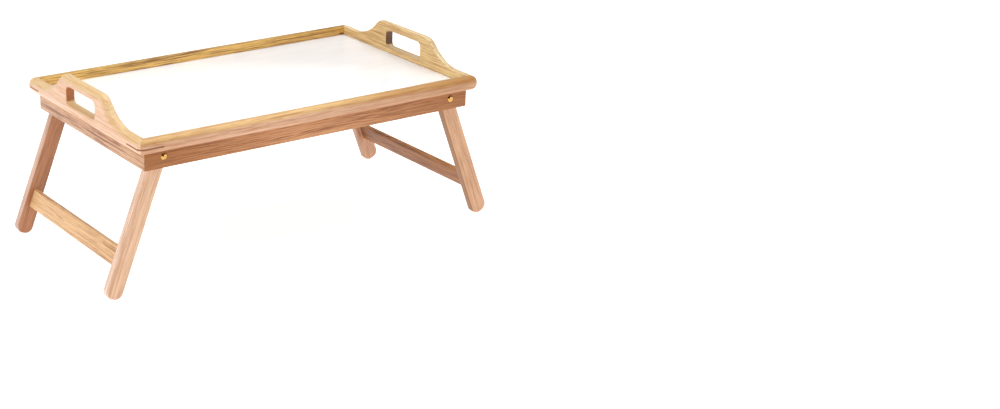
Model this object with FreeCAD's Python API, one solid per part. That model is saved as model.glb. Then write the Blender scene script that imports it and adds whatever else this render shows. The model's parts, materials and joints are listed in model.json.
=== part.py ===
"""A folding bed tray table of clear-finished hardwood with a white tray surface.

Millimetres. X runs along the tray, Y from its front to its rear and Z up. The
origin lies on the floor, under the middle of the tray. The legs stand open.
"""
import FreeCAD, Part
import math
import os

V = FreeCAD.Vector

# ---------------------------------------------------------------- driving sizes
# Upper frame
TRAY_LENGTH = 636.0
TRAY_DEPTH = 388.0
RIM_HEIGHT = 256.0            # top of the rails above the floor
RAIL_HEIGHT = 24.0
RIM_THICKNESS = 16.0          # the upstand round the white surface
NOSE_RADIUS = 11.0            # rounding of the outer edges and corners
INNER_EASE = 2.0              # small bevel of the inner top edge

# Handles
HANDLE_RISE = 37.5            # handle top above the rails
HANDLE_FLAT = 118.0           # straight grip at the top
SHOULDER_RADIUS = 26.0
SWEEP_RADIUS = 80.0           # hollow sweep from the handle down to the rim
SWEEP_SLOPE = 44.0            # degrees, steepest part of the sweep
SLOT_LENGTH = 98.0
SLOT_HEIGHT = 30.0
SLOT_GRIP = 14.0              # wood above the hand slot
SLOT_CORNER = 8.0
SLOT_EASE = 2.0               # bevel round the slot, on both faces

# Tray surface
SURFACE_DROP = 15.5           # white surface below the rim
BOARD_THICKNESS = 3.4
LAMINATE_THICKNESS = 0.6
PANEL_PLAY = 0.3              # round the edge of the panel

# Corner keys, thin feathers let in flat across each mitre
KEY_REACH = 42.0
KEY_THICKNESS = 2.6
KEY_DROP = 12.4               # key top below the rim

# Apron box under the upper frame
APRON_INSET = 14.0
APRON_THICKNESS = 12.0
APRON_HEIGHT = 29.0
APRON_CORNER = 3.0
APRON_EASE = 1.5

# Leg frames
LEG_WIDTH = 28.6
LEG_THICKNESS = 14.6
LEG_SPLAY = 21.2              # degrees from upright, standing
LEG_HEADROOM = 1.0            # between the leg's round top and the tray board
FOOT_RADIUS = 12.0
LEG_EASE = 2.5
STOP_CLEARANCE = 0.3          # leg to the apron edge that it leans on
STRETCHER_REACH = 158.0       # from pivot to the stretcher's near edge
STRETCHER_WIDTH = 31.5
STRETCHER_THICKNESS = 9.0
STRETCHER_EASE = 2.0
TENON_LENGTH = 10.0           # stub tenon in the leg
TENON_SHOULDER = 3.0          # all round the tenon

# Pivots
BOLT_DIAMETER = 5.0
BOLT_HEAD_DIAMETER = 12.5
BOLT_HEAD_HEIGHT = 2.8
BOLT_TIP = 1.5                # bolt beyond its nut
PIVOT_FIT = 0.08              # leg bore round the bolt, on the radius
SIDE_PLAY = 0.15              # leg to the washer on each side
SPACER_THICKNESS = 0.8
SPACER_DIAMETER = 16.0
NUT_SIDES = 6
NUT_ACROSS_FLATS = 8.0
NUT_HEIGHT = 5.2

# Hidden joinery of the apron box
SPLINE_THICKNESS = 3.0
SPLINE_WIDTH = 12.0           # measured square across the mitre
SPLINE_INSET = 7.0            # from the aprons' outer faces, at the mitre
SPLINE_STOP = 5.0             # wood left above and below the spline
TONGUE_THICKNESS = 3.0
TONGUE_IN_APRON = 6.0
TONGUE_IN_RAIL = 3.0
TONGUE_END_MARGIN = 62.0      # from the tray's corner to the end of a tongue

# ---------------------------------------------------------------- worked-out sizes
HALF_LENGTH = TRAY_LENGTH / 2
HALF_DEPTH = TRAY_DEPTH / 2
RAIL_BOTTOM = RIM_HEIGHT - RAIL_HEIGHT
SURFACE_LEVEL = RIM_HEIGHT - SURFACE_DROP
BOARD_TOP = SURFACE_LEVEL - LAMINATE_THICKNESS
LEDGE_TOP = BOARD_TOP - BOARD_THICKNESS
BASE_WIDTH = APRON_INSET + APRON_THICKNESS      # the rails reach the apron's inner face
HANDLE_TOP = RIM_HEIGHT + HANDLE_RISE
SLOT_TOP = HANDLE_TOP - SLOT_GRIP
APRON_BOTTOM = RAIL_BOTTOM - APRON_HEIGHT
APRON_HALF_LENGTH = HALF_LENGTH - APRON_INSET
APRON_HALF_DEPTH = HALF_DEPTH - APRON_INSET
INNER_HALF_LENGTH = APRON_HALF_LENGTH - APRON_THICKNESS
INNER_HALF_DEPTH = APRON_HALF_DEPTH - APRON_THICKNESS

SPLAY = math.radians(LEG_SPLAY)
HALF_WIDTH = LEG_WIDTH / 2
PIVOT_LEVEL = LEDGE_TOP - LEG_HEADROOM - HALF_WIDTH
PIVOT_DROP = PIVOT_LEVEL - APRON_BOTTOM
# The standing leg leans on the inner bottom edge of the end apron.
PIVOT_FROM_STOP = (HALF_WIDTH + STOP_CLEARANCE + PIVOT_DROP * math.sin(SPLAY)) / math.cos(SPLAY)
PIVOT_OFFSET = INNER_HALF_LENGTH - PIVOT_FROM_STOP
# The round foot of the leaning leg just reaches the floor.
FOOT_CENTRE_OFFSET = HALF_WIDTH - FOOT_RADIUS
FOOT_CENTRE_DROP = PIVOT_LEVEL - FOOT_RADIUS - FOOT_CENTRE_OFFSET * math.sin(SPLAY)
LEG_REACH = FOOT_RADIUS + FOOT_CENTRE_DROP / math.cos(SPLAY)
LEG_OUTER_FACE = INNER_HALF_DEPTH - SPACER_THICKNESS - SIDE_PLAY
LEG_INNER_FACE = LEG_OUTER_FACE - LEG_THICKNESS
NUT_FACE = LEG_INNER_FACE - SIDE_PLAY

X_AXIS = V(1, 0, 0)
Y_AXIS = V(0, 1, 0)
Z_AXIS = V(0, 0, 1)
ORIGIN = V(0, 0, 0)
ENDS = (-1, 1)                # left and right
SIDES = (-1, 1)               # front and rear
TOLERANCE = 0.001
OVERCUT = 1.0                 # how far a cutter runs past the face
END_NAMES = {-1: "left", 1: "right"}
SIDE_NAMES = {-1: "front", 1: "rear"}


# ---------------------------------------------------------------- helpers
def box(low, high):
    """A block between two corners."""
    return Part.makeBox(high.x - low.x, high.y - low.y, high.z - low.z, low)


def prism(points, direction):
    """A straight-edged outline pushed along a direction."""
    return Part.Face(Part.makePolygon(points + points[:1])).extrude(direction)


def line(start, end):
    return Part.LineSegment(start, end).toShape()


def arc(start, middle, end):
    return Part.Arc(start, middle, end).toShape()


def turned(shape, angle, axis=Z_AXIS, centre=ORIGIN):
    """A copy turned about an axis, in degrees."""
    copy = shape.copy()
    copy.rotate(centre, axis, angle)
    return copy


def moved(shape, offset):
    """A copy moved by a vector."""
    copy = shape.copy()
    copy.translate(offset)
    return copy


def edges_where(shape, test):
    """The edges whose every vertex passes the test."""
    return [edge for edge in shape.Edges if all(test(vertex.Point) for vertex in edge.Vertexes)]


def near(value, target):
    return abs(value - target) < TOLERANCE


def is_upright(edge):
    """Whether a straight edge stands vertically."""
    ends = edge.Vertexes
    return len(ends) == 2 and near(ends[0].Point.distanceToPoint(ends[1].Point),
                                   abs(ends[0].Point.z - ends[1].Point.z))


def on_circle(centre, radius, angle):
    """A point at an angle, in degrees, on a circle in the YZ plane."""
    turn = math.radians(angle)
    return V(centre.x, centre.y + radius * math.cos(turn), centre.z + radius * math.sin(turn))


# ---------------------------------------------------------------- upper frame
def plain_outline(length):
    """The side view of a rail, at x = 0, along Y."""
    half = length / 2
    corners = [V(0, -half, RAIL_BOTTOM), V(0, half, RAIL_BOTTOM),
               V(0, half, RIM_HEIGHT), V(0, -half, RIM_HEIGHT)]
    return Part.Face(Part.makePolygon(corners + corners[:1]))


def handle_outline(length):
    """The side view of a handle board: rim, hollow sweep, round shoulder and flat grip."""
    half = length / 2
    slope = SWEEP_SLOPE
    shoulder = V(0, HANDLE_FLAT / 2, HANDLE_TOP - SHOULDER_RADIUS)
    shoulder_start = on_circle(shoulder, SHOULDER_RADIUS, 90)
    shoulder_middle = on_circle(shoulder, SHOULDER_RADIUS, 90 - slope / 2)
    shoulder_end = on_circle(shoulder, SHOULDER_RADIUS, 90 - slope)
    # The straight of the slope runs down to where the hollow sweep starts.
    sweep_start_level = RIM_HEIGHT + SWEEP_RADIUS * (1 - math.cos(math.radians(slope)))
    run = (shoulder_end.z - sweep_start_level) / math.tan(math.radians(slope))
    sweep_start = V(0, shoulder_end.y + run, sweep_start_level)
    sweep_reach = SWEEP_RADIUS * math.sin(math.radians(slope))
    sweep = V(0, sweep_start.y + sweep_reach, RIM_HEIGHT + SWEEP_RADIUS)
    sweep_middle = on_circle(sweep, SWEEP_RADIUS, -90 - slope / 2)
    sweep_end = on_circle(sweep, SWEEP_RADIUS, -90)

    def mirrored(point):
        return V(point.x, -point.y, point.z)

    corner, foot = V(0, half, RIM_HEIGHT), V(0, half, RAIL_BOTTOM)
    edges = [line(mirrored(shoulder_start), shoulder_start), line(mirrored(foot), foot)]
    for side in (lambda point: point, mirrored):
        edges.append(arc(side(shoulder_start), side(shoulder_middle), side(shoulder_end)))
        edges.append(line(side(shoulder_end), side(sweep_start)))
        edges.append(arc(side(sweep_start), side(sweep_middle), side(sweep_end)))
        edges.append(line(side(sweep_end), side(corner)))
        edges.append(line(side(corner), side(foot)))
    return Part.Face(Part.Wire(Part.__sortEdges__(edges)))


def hand_slot():
    """The cutter of the hand slot, a round-cornered opening through the board."""
    low = V(-OVERCUT, -SLOT_LENGTH / 2, SLOT_TOP - SLOT_HEIGHT)
    high = V(RIM_THICKNESS + OVERCUT, SLOT_LENGTH / 2, SLOT_TOP)
    block = box(low, high)
    through = [edge for edge in block.Edges if near(edge.Length, high.x - low.x)]
    return block.makeFillet(SLOT_CORNER, through)


def frame_side(length, outline):
    """One side of the upper frame, outer face at x = 0, with a nose, a ledge and mitred ends."""
    half = length / 2
    body = outline.extrude(V(RIM_THICKNESS, 0, 0))
    outer = edges_where(body, lambda point: near(point.x, 0))
    nose = [edge for edge in outer if not is_upright(edge)]
    body = body.makeFillet(NOSE_RADIUS, nose)
    top = RIM_HEIGHT - TOLERANCE
    inner = edges_where(body, lambda point: near(point.x, RIM_THICKNESS) and point.z > top)
    body = body.makeChamfer(INNER_EASE, inner)
    ledge = box(V(RIM_THICKNESS, -half, RAIL_BOTTOM), V(BASE_WIDTH, half, LEDGE_TOP))
    body = body.fuse(ledge).removeSplitter()
    ends = prism([V(0, -half, 0), V(BASE_WIDTH, BASE_WIDTH - half, 0),
                  V(BASE_WIDTH, half - BASE_WIDTH, 0), V(0, half, 0)], V(0, 0, HANDLE_TOP + OVERCUT))
    return body.common(ends)


def with_hand_slot(board):
    """The handle board with its slot cut and the slot's edges bevelled."""
    board = board.cut(hand_slot())

    def on_slot(point):
        inside = abs(point.y) < SLOT_LENGTH / 2 + TOLERANCE
        level = SLOT_TOP - SLOT_HEIGHT - TOLERANCE < point.z < SLOT_TOP + TOLERANCE
        return inside and level and (near(point.x, 0) or near(point.x, RIM_THICKNESS))

    rim = [edge for edge in edges_where(board, on_slot)
           if near(edge.Vertexes[0].Point.x, edge.Vertexes[-1].Point.x)]
    return board.makeChamfer(SLOT_EASE, rim)


def placed_sides(long_side, short_side):
    """The four sides of a frame, from one along Y for the ends and one for front and rear."""
    return {
        "left": moved(short_side, V(-HALF_LENGTH, 0, 0)),
        "right": moved(turned(short_side, 180), V(HALF_LENGTH, 0, 0)),
        "front": moved(turned(long_side, 90), V(0, -HALF_DEPTH, 0)),
        "rear": moved(turned(long_side, -90), V(0, HALF_DEPTH, 0)),
    }


def tongues():
    """Four loose tongues that join the aprons' top edges to the undersides of the rails."""
    middle = APRON_INSET + APRON_THICKNESS / 2
    low, high = RAIL_BOTTOM - TONGUE_IN_APRON, RAIL_BOTTOM + TONGUE_IN_RAIL
    half = TONGUE_THICKNESS / 2
    pieces = []
    for side in SIDES:
        reach, across = HALF_LENGTH - TONGUE_END_MARGIN, side * (HALF_DEPTH - middle)
        pieces.append(box(V(-reach, across - half, low), V(reach, across + half, high)))
    for end in ENDS:
        reach, across = HALF_DEPTH - TONGUE_END_MARGIN, end * (HALF_LENGTH - middle)
        pieces.append(box(V(across - half, -reach, low), V(across + half, reach, high)))
    return pieces


def without(shape, cutters):
    """A piece with every cutter that reaches it taken away."""
    reaching = [cutter for cutter in cutters if shape.BoundBox.intersect(cutter.BoundBox)]
    return shape.cut(reaching) if reaching else shape


def key_blank(end, side):
    """The flat triangle across a mitre, reaching as far along both sides."""
    corner = V(end * HALF_LENGTH, side * HALF_DEPTH, RIM_HEIGHT - KEY_DROP - KEY_THICKNESS)
    return prism([corner, corner + V(-end * KEY_REACH, 0, 0), corner + V(0, -side * KEY_REACH, 0)],
                 V(0, 0, KEY_THICKNESS))


def frame_block():
    """The block that the frame's rails enclose."""
    return box(V(-HALF_LENGTH, -HALF_DEPTH, RAIL_BOTTOM), V(HALF_LENGTH, HALF_DEPTH, RIM_HEIGHT))


def corner_waste():
    """What is rounded off the four mitred corners."""
    block = frame_block()
    block = block.makeFillet(NOSE_RADIUS, block.Edges)
    waste = []
    for end in ENDS:
        for side in SIDES:
            tip = V(end * (HALF_LENGTH + OVERCUT), side * (HALF_DEPTH + OVERCUT), RIM_HEIGHT + OVERCUT)
            root = V(end * (HALF_LENGTH - NOSE_RADIUS), side * (HALF_DEPTH - NOSE_RADIUS),
                     RAIL_BOTTOM - OVERCUT)
            low = V(min(tip.x, root.x), min(tip.y, root.y), root.z)
            high = V(max(tip.x, root.x), max(tip.y, root.y), tip.z)
            waste.append(box(low, high).cut(block))
    return waste


def corner_keys():
    """The keys, dressed to the frame's round corners and flush with its inside."""
    block = frame_block()
    block = block.makeFillet(NOSE_RADIUS, [edge for edge in block.Edges if is_upright(edge)])
    half_x, half_y = HALF_LENGTH - RIM_THICKNESS, HALF_DEPTH - RIM_THICKNESS
    well = box(V(-half_x, -half_y, RAIL_BOTTOM), V(half_x, half_y, RIM_HEIGHT))
    keys = {}
    for end in ENDS:
        for side in SIDES:
            name = SIDE_NAMES[side] + "_" + END_NAMES[end] + "_corner_key"
            keys[name] = key_blank(end, side).common(block).cut(well)
    return keys


# ---------------------------------------------------------------- tray surface
def sheet(bottom, thickness):
    """A rectangle that drops in between the upstands."""
    half_x = HALF_LENGTH - RIM_THICKNESS - PANEL_PLAY
    half_y = HALF_DEPTH - RIM_THICKNESS - PANEL_PLAY
    return box(V(-half_x, -half_y, bottom), V(half_x, half_y, bottom + thickness))


# ---------------------------------------------------------------- apron box
def apron(half_length, half_across):
    """An apron along Y with mitred ends, outer face at x = 0, bottom edges eased."""
    body = box(V(0, -half_length, APRON_BOTTOM), V(APRON_THICKNESS, half_length, RAIL_BOTTOM))
    ends = prism([V(0, -half_length, 0), V(APRON_THICKNESS, APRON_THICKNESS - half_length, 0),
                  V(APRON_THICKNESS, half_length - APRON_THICKNESS, 0), V(0, half_length, 0)],
                 V(0, 0, RIM_HEIGHT))
    bottom = edges_where(body, lambda point: near(point.z, APRON_BOTTOM))
    body = body.makeFillet(APRON_EASE, [edge for edge in bottom if near(edge.Length, 2 * half_length)])
    return moved(body.common(ends), V(-half_across, 0, 0))


def apron_outline():
    """The round-cornered block whose sides are the aprons' outer faces."""
    block = box(V(-APRON_HALF_LENGTH, -APRON_HALF_DEPTH, APRON_BOTTOM),
                V(APRON_HALF_LENGTH, APRON_HALF_DEPTH, RAIL_BOTTOM))
    corners = [edge for edge in block.Edges if near(edge.Length, APRON_HEIGHT)]
    return block.makeFillet(APRON_CORNER, corners)


def mitre_splines():
    """One stopped spline square across each mitre of the apron box."""
    splines = []
    block = box(V(-SPLINE_WIDTH / 2, -SPLINE_THICKNESS / 2, APRON_BOTTOM + SPLINE_STOP),
                V(SPLINE_WIDTH / 2, SPLINE_THICKNESS / 2, RAIL_BOTTOM - SPLINE_STOP))
    for end in ENDS:
        for side in SIDES:
            across = turned(block, -45 * end * side)
            splines.append(moved(across, V(end * (APRON_HALF_LENGTH - SPLINE_INSET),
                                           side * (APRON_HALF_DEPTH - SPLINE_INSET), 0)))
    return splines


# ---------------------------------------------------------------- leg frames
def stock(thickness, width, length, ease):
    """A planed bar with rounded long edges: thickness along X, length along Y, width along Z."""
    bar = box(V(-thickness / 2, -length / 2, -width / 2), V(thickness / 2, length / 2, width / 2))
    return bar.makeFillet(ease, [edge for edge in bar.Edges if near(edge.Length, length)])


def leg_outline():
    """The side view of a leg that hangs from the origin: round head, straight sides, round foot."""
    flat = HALF_WIDTH - FOOT_RADIUS
    middle = FOOT_RADIUS * math.sqrt(0.5)
    tip, bend = -LEG_REACH, FOOT_RADIUS - LEG_REACH
    right, left = V(HALF_WIDTH, 0, 0), V(-HALF_WIDTH, 0, 0)
    right_bend, left_bend = V(HALF_WIDTH, 0, bend), V(-HALF_WIDTH, 0, bend)
    right_tip, left_tip = V(flat, 0, tip), V(-flat, 0, tip)
    edges = [
        arc(left, V(0, 0, HALF_WIDTH), right),
        line(right, right_bend),
        arc(right_bend, V(flat + middle, 0, bend - middle), right_tip),
        line(right_tip, left_tip),
        arc(left_tip, V(-flat - middle, 0, bend - middle), left_bend),
        line(left_bend, left),
    ]
    return Part.Face(Part.Wire(edges))


def leg_blank():
    """A leg cut from round-edged stock, with its pivot bore at the origin."""
    span = LEG_REACH + HALF_WIDTH
    bar = turned(stock(LEG_THICKNESS, LEG_WIDTH, span, LEG_EASE), 90, X_AXIS)
    bar = moved(turned(bar, 90), V(0, 0, HALF_WIDTH - span / 2))
    outline = moved(leg_outline().extrude(V(0, LEG_THICKNESS, 0)), V(0, -LEG_THICKNESS / 2, 0))
    bore = Part.makeCylinder(BOLT_DIAMETER / 2 + PIVOT_FIT, LEG_THICKNESS + 2 * OVERCUT,
                             V(0, -LEG_THICKNESS / 2 - OVERCUT, 0), Y_AXIS)
    return bar.common(outline).cut(bore)


def stretcher_blank():
    """The rail that joins the two legs of an end, with a stub tenon at each end."""
    middle = V(0, 0, -STRETCHER_REACH - STRETCHER_WIDTH / 2)
    bar = stock(STRETCHER_THICKNESS, STRETCHER_WIDTH, 2 * LEG_INNER_FACE, STRETCHER_EASE)
    reach = LEG_INNER_FACE + TENON_LENGTH
    across = STRETCHER_THICKNESS / 2 - TENON_SHOULDER
    along = STRETCHER_WIDTH / 2 - TENON_SHOULDER
    tenon = box(V(-across, -reach, -along), V(across, reach, along))
    return moved(bar.fuse(tenon), middle)


def leg_frame():
    """The pieces of one end frame, hanging straight down from the origin."""
    stretcher = stretcher_blank()
    blank = leg_blank()
    middle = LEG_OUTER_FACE - LEG_THICKNESS / 2
    return {
        "front_leg": moved(blank, V(0, -middle, 0)).cut(stretcher),
        "rear_leg": moved(blank, V(0, middle, 0)).cut(stretcher),
        "stretcher": stretcher,
    }


def standing(shape, end):
    """A piece of the end frame, splayed outwards and set at its pivot."""
    return moved(turned(shape, -end * LEG_SPLAY, Y_AXIS), V(end * PIVOT_OFFSET, 0, PIVOT_LEVEL))


# ---------------------------------------------------------------- pivots
def pivot_bolt():
    """A cup-head bolt along +Y from the apron's outer face at y = 0."""
    length = APRON_HALF_DEPTH - NUT_FACE + NUT_HEIGHT + BOLT_TIP
    shank = Part.makeCylinder(BOLT_DIAMETER / 2, length, ORIGIN, Y_AXIS)
    rim = BOLT_HEAD_DIAMETER / 2
    crown = (rim ** 2 + BOLT_HEAD_HEIGHT ** 2) / (2 * BOLT_HEAD_HEIGHT)
    ball = Part.makeSphere(crown, V(0, crown - BOLT_HEAD_HEIGHT, 0))
    head = ball.common(box(V(-rim, -BOLT_HEAD_HEIGHT, -rim), V(rim, 0, rim)))
    return head.fuse(shank)


def bolt_core(length):
    """The room that the bolt's shank takes in what it passes through."""
    return Part.makeCylinder(BOLT_DIAMETER / 2, length, ORIGIN, Y_AXIS)


def spacer():
    """A flat washer along +Y from y = 0."""
    disc = Part.makeCylinder(SPACER_DIAMETER / 2, SPACER_THICKNESS, ORIGIN, Y_AXIS)
    return disc.cut(bolt_core(SPACER_THICKNESS))


def lock_nut():
    """A hexagon nut along +Y from y = 0."""
    corner = NUT_ACROSS_FLATS / 2 / math.cos(math.pi / NUT_SIDES)
    points = []
    for step in range(NUT_SIDES):
        angle = 2 * math.pi * step / NUT_SIDES
        points.append(V(corner * math.cos(angle), 0, corner * math.sin(angle)))
    return prism(points, V(0, NUT_HEIGHT, 0)).cut(bolt_core(NUT_HEIGHT))


def at_pivots(shape, face):
    """Copies at the four pivots; the shape's y = 0 goes to that distance from the middle."""
    front = moved(shape, V(0, -face, 0))
    pair = (front, turned(front, 180))
    return [moved(copy, V(end * PIVOT_OFFSET, 0, PIVOT_LEVEL)) for copy in pair for end in ENDS]


# ---------------------------------------------------------------- assembly
def build():
    nodes = {}
    rounding = corner_waste()
    key_cutters = [key_blank(end, side) for end in ENDS for side in SIDES]
    loose_tongues = tongues()
    splines = mitre_splines()
    bolt_holes = at_pivots(bolt_core(APRON_THICKNESS), APRON_HALF_DEPTH)

    long_side = frame_side(TRAY_LENGTH, plain_outline(TRAY_LENGTH))
    short_side = with_hand_slot(frame_side(TRAY_DEPTH, handle_outline(TRAY_DEPTH)))
    sides = placed_sides(long_side, short_side)
    for name, place in (("front_rail", "front"), ("rear_rail", "rear"),
                        ("left_handle_board", "left"), ("right_handle_board", "right")):
        nodes[name] = without(sides[place], rounding + key_cutters + loose_tongues)
    nodes.update(corner_keys())

    nodes["panel_board"] = sheet(LEDGE_TOP, BOARD_THICKNESS)
    nodes["panel_laminate"] = sheet(BOARD_TOP, LAMINATE_THICKNESS)

    outline = apron_outline()
    end_apron = apron(APRON_HALF_DEPTH, APRON_HALF_LENGTH)
    long_apron = apron(APRON_HALF_LENGTH, APRON_HALF_DEPTH)
    aprons = {"left_apron": end_apron, "right_apron": turned(end_apron, 180),
              "front_apron": turned(long_apron, 90), "rear_apron": turned(long_apron, -90)}
    for name, shape in aprons.items():
        nodes[name] = without(shape.common(outline), splines + loose_tongues + bolt_holes)
    nodes["apron_corner_splines"] = Part.makeCompound(splines)
    nodes["apron_tongues"] = Part.makeCompound(loose_tongues)

    frame = leg_frame()
    for end in ENDS:
        word = END_NAMES[end]
        nodes["front_" + word + "_leg"] = standing(frame["front_leg"], end)
        nodes["rear_" + word + "_leg"] = standing(frame["rear_leg"], end)
        nodes[word + "_stretcher"] = standing(frame["stretcher"], end)

    nodes["pivot_bolts"] = Part.makeCompound(at_pivots(pivot_bolt(), APRON_HALF_DEPTH))
    nodes["leg_spacers"] = Part.makeCompound(at_pivots(spacer(), INNER_HALF_DEPTH))
    nodes["lock_nuts"] = Part.makeCompound(at_pivots(lock_nut(), NUT_FACE))
    return nodes


os.makedirs("parts", exist_ok=True)
for node_name, node_shape in build().items():
    node_shape.exportStep("parts/" + node_name + ".step")
print("pivots at x", round(PIVOT_OFFSET, 3), "and z", round(PIVOT_LEVEL, 3))
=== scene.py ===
"""A folding bed tray table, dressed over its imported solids. Metres, X along the tray."""

import json
import math

import bpy
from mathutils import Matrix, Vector


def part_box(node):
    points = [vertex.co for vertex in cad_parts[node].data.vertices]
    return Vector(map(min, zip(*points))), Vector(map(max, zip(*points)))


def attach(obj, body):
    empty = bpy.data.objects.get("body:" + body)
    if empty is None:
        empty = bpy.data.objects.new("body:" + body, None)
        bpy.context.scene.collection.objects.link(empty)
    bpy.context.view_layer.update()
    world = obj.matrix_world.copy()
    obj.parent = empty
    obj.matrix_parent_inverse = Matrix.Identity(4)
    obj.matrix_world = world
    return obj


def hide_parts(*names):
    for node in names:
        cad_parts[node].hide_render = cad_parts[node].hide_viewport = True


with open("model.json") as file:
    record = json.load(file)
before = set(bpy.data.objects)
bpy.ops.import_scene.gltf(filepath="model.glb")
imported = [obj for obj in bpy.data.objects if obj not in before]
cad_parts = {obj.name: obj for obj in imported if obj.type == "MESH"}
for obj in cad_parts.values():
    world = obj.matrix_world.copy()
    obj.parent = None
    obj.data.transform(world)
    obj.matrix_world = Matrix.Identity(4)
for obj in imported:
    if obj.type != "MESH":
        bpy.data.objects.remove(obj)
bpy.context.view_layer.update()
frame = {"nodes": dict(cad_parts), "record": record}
record = frame["record"]

# ---------------------------------------------------------------- sizes
MM = 0.001
NOSE = 11 * MM                  # rounding of the frame's outer edges and corners
RIM_THICKNESS = 16 * MM
INNER_EASE = 2 * MM
SWEEP_SLOPE = math.radians(44)
HANDLE_FLAT = 118 * MM
SHOULDER_RADIUS = 26 * MM
SWEEP_RADIUS = 80 * MM
SLOT_LENGTH = 98 * MM
SLOT_HEIGHT = 30 * MM
SLOT_GRIP = 14 * MM             # wood above the hand slot
SLOT_CORNER = 8 * MM
SLOT_EASE = 2 * MM
KEY_REACH = 42 * MM
APRON_CORNER = 3 * MM
APRON_EASE = 1.5 * MM
LEG_WIDTH = 28.6 * MM
LEG_THICKNESS = 14.6 * MM
LEG_EASE = 2.5 * MM
FOOT_RADIUS = 12 * MM
SPLAY = math.radians(21.2)      # lean of the legs from upright
STRETCHER_REACH = 158 * MM      # from pivot to the stretcher's near edge
STRETCHER_WIDTH = 31.5 * MM
STRETCHER_THICKNESS = 9 * MM
STRETCHER_EASE = 2 * MM
TENON_LENGTH = 10 * MM
TENON_SHOULDER = 3 * MM
BOLT_DIAMETER = 5 * MM
BOLT_HEAD_DIAMETER = 12.5 * MM
BOLT_HEAD_HEIGHT = 2.8 * MM
NUT_ACROSS_FLATS = 8 * MM
NUT_HEIGHT = 5.2 * MM
BOLT_TIP = 1.5 * MM             # bolt beyond its nut
SIDE_PLAY = 0.15 * MM           # leg to the washer and to the nut
SPACER_DIAMETER = 16 * MM
SPACER_THICKNESS = 0.8 * MM
SPARE = 5 * MM                  # wood left on a blank before it is cut to shape
ARRIS = 0.4 * MM                # the last hand-sanded edge
FITTING_ARRIS = 0.25 * MM       # on bolts, nuts and washers
BOARD_ARRIS = 0.3 * MM
LAMINATE_ARRIS = 0.1 * MM
PANEL_CORNER = 1.5 * MM
FLOOR_SIZE = 40
FLOOR_DROP = 0.2 * MM           # from the feet down to the floor

# ---------------------------------------------------------------- steps in a rounded edge
NOSE_STEPS = 8
SHOULDER_STEPS = 8
SWEEP_STEPS = 12
SLOT_STEPS = 6
LEG_HEAD_STEPS = 10
FOOT_STEPS = 8
CORNER_STEPS = 4                # small corners and the eases that a hand feels
EASE_STEPS = 3                  # the frame's inner edge and the aprons' lower edge
TURNED_SIDES = 48               # of bolt heads and washers
NUT_SIDES = 6

FACING = 0.9                    # how squarely a face has to point one way to be picked
STRAIGHT = 0.999                # how squarely an edge has to run along an axis

# ---------------------------------------------------------------- places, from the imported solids
rail_low, rail_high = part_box("front_rail")
HALF_LENGTH, HALF_DEPTH = -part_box("left_handle_board")[0].x, -rail_low.y
RAIL_BOTTOM, RIM_TOP = rail_low.z, rail_high.z
BASE_WIDTH = rail_high.y - rail_low.y
LEDGE_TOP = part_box("panel_board")[0].z
HANDLE_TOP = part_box("left_handle_board")[1].z
SLOT_TOP = HANDLE_TOP - SLOT_GRIP
KEY_LOW, KEY_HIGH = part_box("front_left_corner_key")
apron_low, apron_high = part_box("front_apron")
APRON_HALF_LENGTH, APRON_HALF_DEPTH = apron_high.x, -apron_low.y
APRON_THICKNESS = apron_high.y - apron_low.y
APRON_BOTTOM = apron_low.z
EPSILON = 0.01 * MM

leg_low, leg_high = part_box("front_left_leg")
LEG_MIDDLE = -(leg_low.y + leg_high.y) / 2       # of the leg's thickness, from the tray's middle
joint = next(made for made in record["behaviour"]["joints"] if made["name"] == "right_leg_fold")
PIVOT_OFFSET, PIVOT_LEVEL = joint["pos_m"][0], joint["pos_m"][2]
LEG_REACH = FOOT_RADIUS + (PIVOT_LEVEL - FOOT_RADIUS
                           - (LEG_WIDTH / 2 - FOOT_RADIUS) * math.sin(SPLAY)) / math.cos(SPLAY)
NUT_FACE = LEG_MIDDLE - LEG_THICKNESS / 2 - SIDE_PLAY

body_of = {node: body for body, names in record["behaviour"]["bodies"].items() for node in names}


# ---------------------------------------------------------------- hand modelling
def pick(*pieces):
    """Only these pieces are selected, the first one active."""
    bpy.ops.object.select_all(action="DESELECT")
    for piece in pieces:
        piece.select_set(True)
    bpy.context.view_layer.objects.active = pieces[0]


def settle(piece):
    """The piece's place, turn and size go into its mesh."""
    pick(piece)
    bpy.ops.object.transform_apply(location=True, rotation=True, scale=True)


def block(name, low, high):
    """A block between two corners."""
    low, high = Vector(low), Vector(high)
    bpy.ops.object.select_all(action="DESELECT")
    bpy.ops.mesh.primitive_cube_add(size=1, location=(low + high) / 2)
    piece = bpy.context.object
    piece.name = name
    piece.scale = high - low
    settle(piece)
    return piece


def choose(piece, kind, test):
    """Edit mode with the edges or faces that pass the test selected."""
    pick(piece)
    bpy.context.tool_settings.mesh_select_mode = (False, kind == "edges", kind == "faces")
    bpy.ops.object.mode_set(mode="EDIT")
    bpy.ops.mesh.select_all(action="DESELECT")
    bpy.ops.object.mode_set(mode="OBJECT")
    mesh = piece.data
    for item in getattr(mesh, kind if kind == "edges" else "polygons"):
        corners = [mesh.vertices[index].co for index in item.vertices]
        item.select = test(corners) if kind == "edges" else test(item.center, item.normal)
    bpy.ops.object.mode_set(mode="EDIT")


def done():
    """Back to object mode."""
    bpy.ops.object.mode_set(mode="OBJECT")


def round_edges(piece, test, width, steps):
    """The chosen edges rounded over."""
    choose(piece, "edges", test)
    bpy.ops.mesh.bevel(offset=width, segments=steps, profile=0.5, affect="EDGES", clamp_overlap=False)
    done()


def saw(piece, place, direction, keep_all=False):
    """A flat cut; the side that the direction points to falls away."""
    choose(piece, "faces", lambda centre, normal: True)
    bpy.ops.mesh.bisect(plane_co=place, plane_no=direction, use_fill=not keep_all,
                        clear_outer=not keep_all)
    done()


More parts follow.
